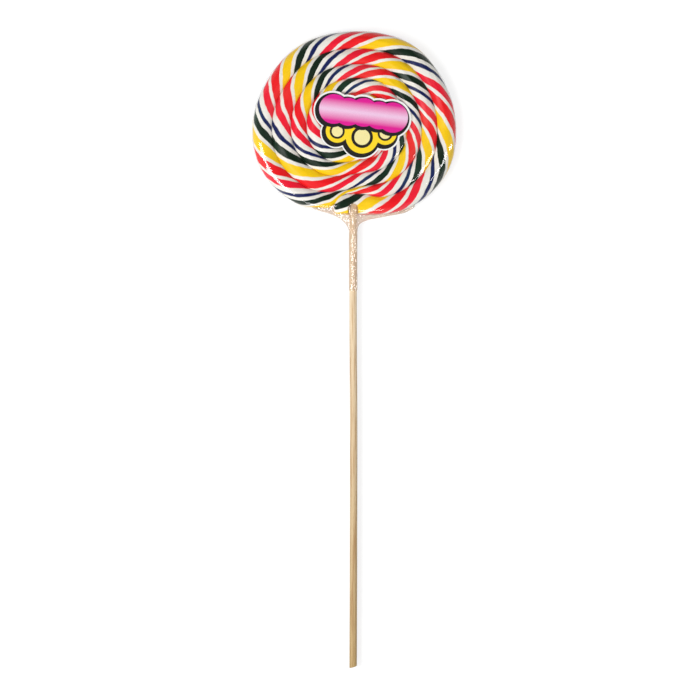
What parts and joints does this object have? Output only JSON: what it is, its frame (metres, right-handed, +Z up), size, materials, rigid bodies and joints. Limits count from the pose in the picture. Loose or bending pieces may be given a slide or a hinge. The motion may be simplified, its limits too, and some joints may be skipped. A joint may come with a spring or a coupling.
{
  "type": "swirl lollipop",
  "caption": "Twisted candy rope wound into a flat oval swirl on a long wooden stick, in clear film gathered round the stick, with a blank sticker.",
  "frame": {"origin": "middle of the swirl, on its flat back", "axes": "+Z up out of the shown face, -Y along the stick towards its free end, +X to the right seen from the shown face"},
  "size_m": [0.1319, 0.4129, 0.0116],
  "materials": {
    "candy": "glossy boiled sugar, white with a green, a yellow, two red and a navy stripe",
    "wood": "plain sanded birch dowel",
    "film": "clear thin shrink film, glossy, creased where it gathers",
    "label": "printed film sticker, pink and yellow shapes on black with a white edge"
  },
  "bodies": {
    "root": {"candy": "candy", "stick": "wood", "film_neck": "film", "label": "label"}
  },
  "joints": []
}
